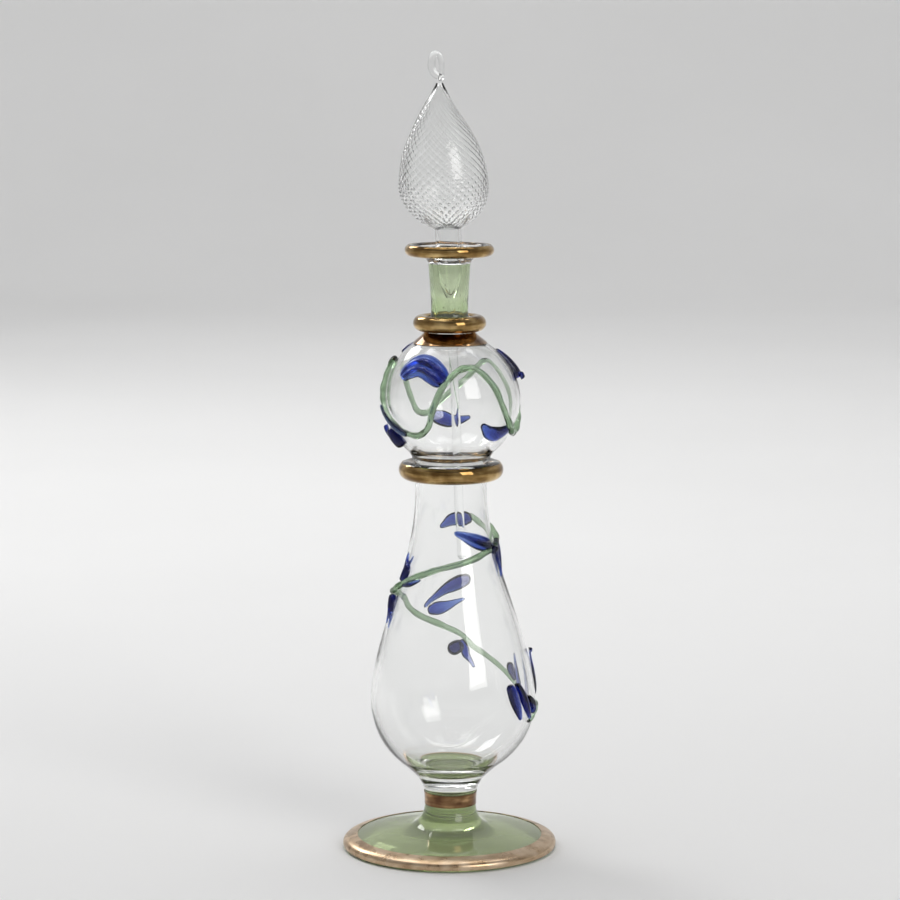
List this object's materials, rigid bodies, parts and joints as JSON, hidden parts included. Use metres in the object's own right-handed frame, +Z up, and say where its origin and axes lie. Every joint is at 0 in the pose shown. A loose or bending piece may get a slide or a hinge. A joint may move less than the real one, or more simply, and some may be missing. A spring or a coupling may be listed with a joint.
{
  "type": "perfume bottle with dip-rod stopper",
  "caption": "Hand-blown footed glass perfume bottle with gilded rings, applied glass vines and leaves, and a teardrop stopper drawn out into a dip rod.",
  "frame": {"origin": "centre of the foot's underside, on the table", "axes": "+Z up the bottle's axis, -Y towards the front, +X to the front's right"},
  "size_m": [0.0538, 0.0538, 0.2],
  "materials": {
    "clear_glass": "gloss",
    "green_glass": "gloss",
    "vine_glass": "gloss",
    "cobalt_glass": "gloss",
    "gold_lustre": "gloss",
    "foot_lustre": "satin",
    "copper_lustre": "gloss"
  },
  "bodies": {
    "bottle": {"foot": "green_glass", "foot_rim_gilding": "foot_lustre", "stem_gilding": "copper_lustre", "reservoir": "clear_glass", "waist_ring": "clear_glass", "waist_ring_gilding": "gold_lustre", "globe": "clear_glass", "collar_gilding": "copper_lustre", "shoulder_ring": "clear_glass", "shoulder_ring_gilding": "copper_lustre", "neck": "green_glass", "mouth_flange": "clear_glass", "mouth_ring": "clear_glass", "mouth_ring_gilding": "gold_lustre", "globe_vine": "vine_glass", "reservoir_vine": "vine_glass", "globe_leaf_1": "cobalt_glass", "globe_leaf_2": "cobalt_glass", "globe_leaf_3": "cobalt_glass", "globe_leaf_4": "cobalt_glass", "globe_leaf_5": "cobalt_glass", "globe_leaf_6": "cobalt_glass", "globe_leaf_7": "cobalt_glass", "reservoir_leaf_1": "cobalt_glass", "reservoir_leaf_2": "cobalt_glass", "reservoir_leaf_3": "cobalt_glass", "reservoir_leaf_4": "cobalt_glass", "reservoir_leaf_5": "cobalt_glass", "reservoir_leaf_6": "cobalt_glass", "reservoir_leaf_7": "cobalt_glass", "reservoir_leaf_8": "cobalt_glass", "reservoir_leaf_9": "cobalt_glass", "reservoir_leaf_10": "cobalt_glass", "reservoir_leaf_11": "cobalt_glass", "reservoir_leaf_12": "cobalt_glass", "reservoir_leaf_13": "cobalt_glass", "reservoir_leaf_14": "cobalt_glass", "reservoir_leaf_15": "cobalt_glass"},
    "stopper": {"stopper_plug": "clear_glass", "dip_rod": "clear_glass"},
    "stopper_top": {"finial": "clear_glass", "finial_loop": "clear_glass"}
  },
  "joints": [
    {"name": "stopper_lift", "type": "slide", "parent": "bottle", "child": "stopper", "axis": [-0.041, 0, 0.9992], "range_m": [0, 0.085]},
    {"name": "finial_turn", "type": "hinge", "parent": "stopper", "child": "stopper_top", "pos_m": [0, 0, 0.1393], "axis": [-0.041, 0, 0.9992], "continuous": true}
  ]
}
